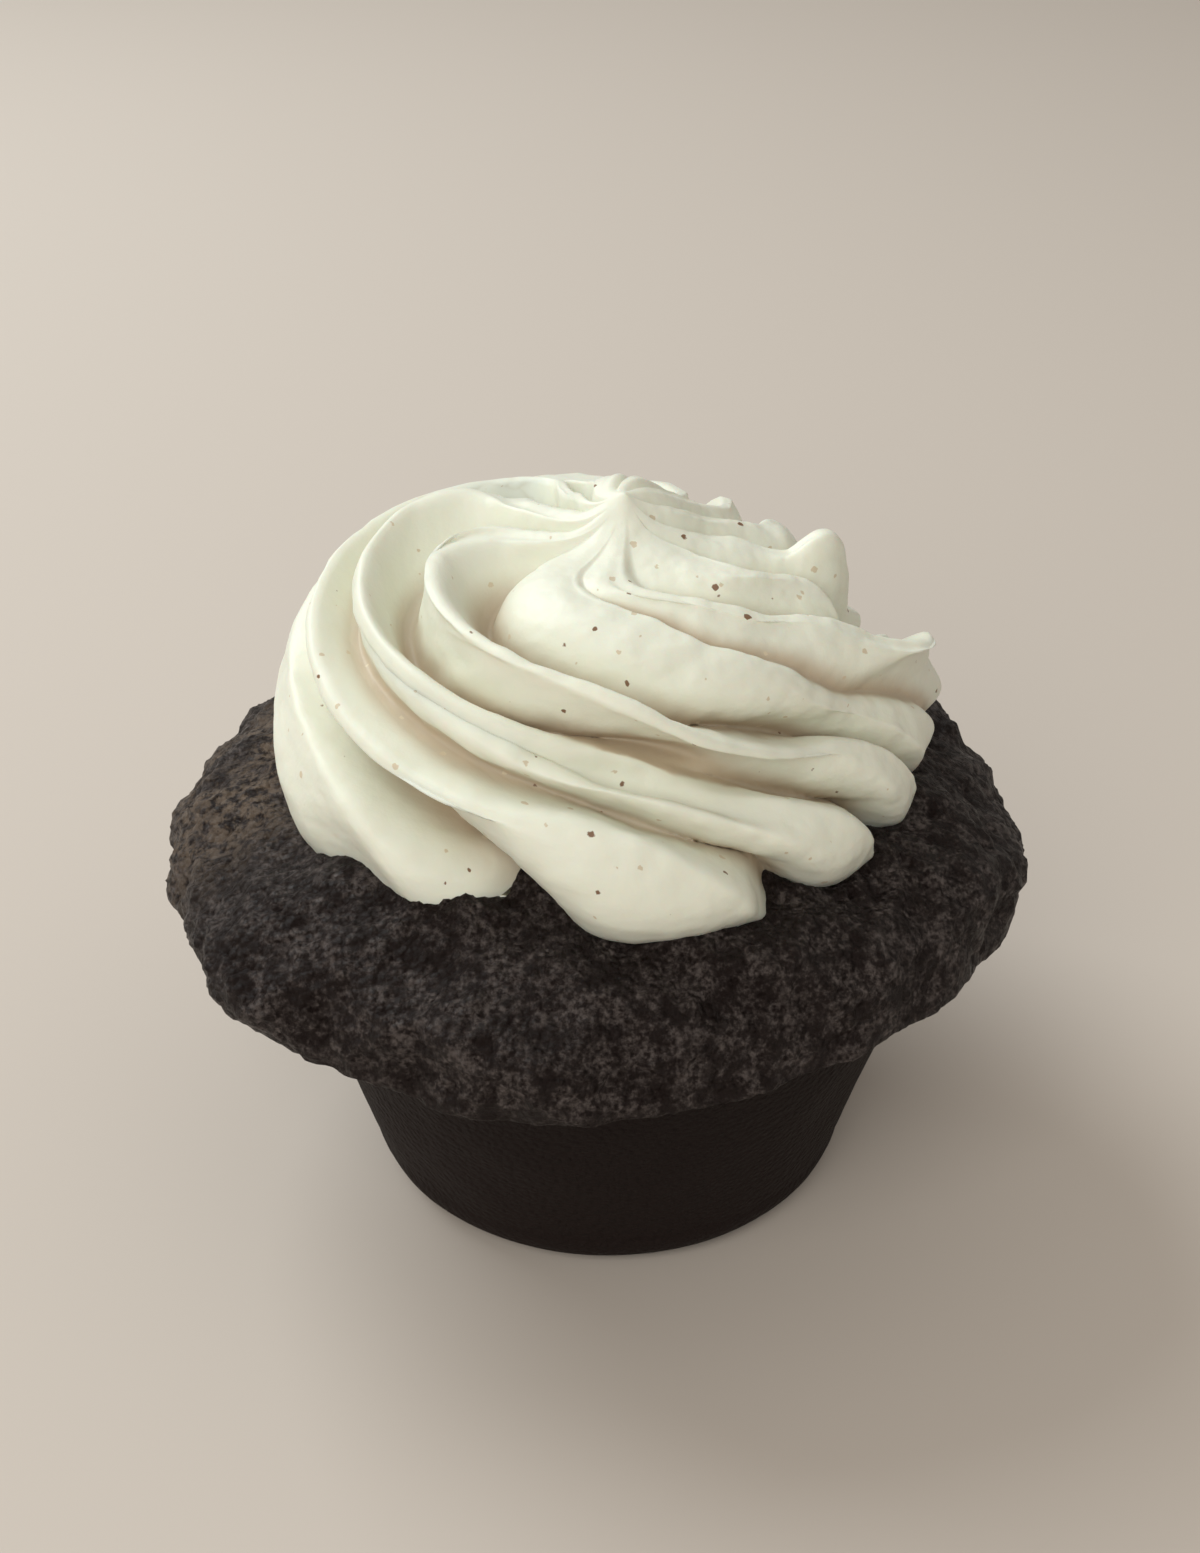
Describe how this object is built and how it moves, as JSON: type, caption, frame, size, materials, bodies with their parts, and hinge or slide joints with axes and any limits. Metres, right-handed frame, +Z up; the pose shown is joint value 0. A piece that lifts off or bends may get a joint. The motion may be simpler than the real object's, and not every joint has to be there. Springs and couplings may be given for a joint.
{
  "type": "cupcake",
  "caption": "Chocolate cupcake baked without a case, its craggy top spread over a tapered smooth side, under a tall piped swirl of vanilla cream frosting.",
  "frame": {"origin": "bottom centre of the bounding box, on the plane of the flat base", "axes": "+Z up through the peak of the frosting, -Y towards the front, +X to the right seen from the front"},
  "size_m": [0.0868, 0.0856, 0.0724],
  "materials": {
    "sponge": "dry dark chocolate sponge crust, craggy and pitted on top, smoother on the side",
    "cream": "smooth soft piped cream with a faint satin sheen and scattered vanilla specks"
  },
  "bodies": {
    "root": {"cake": "sponge", "frosting": "cream"}
  },
  "joints": []
}
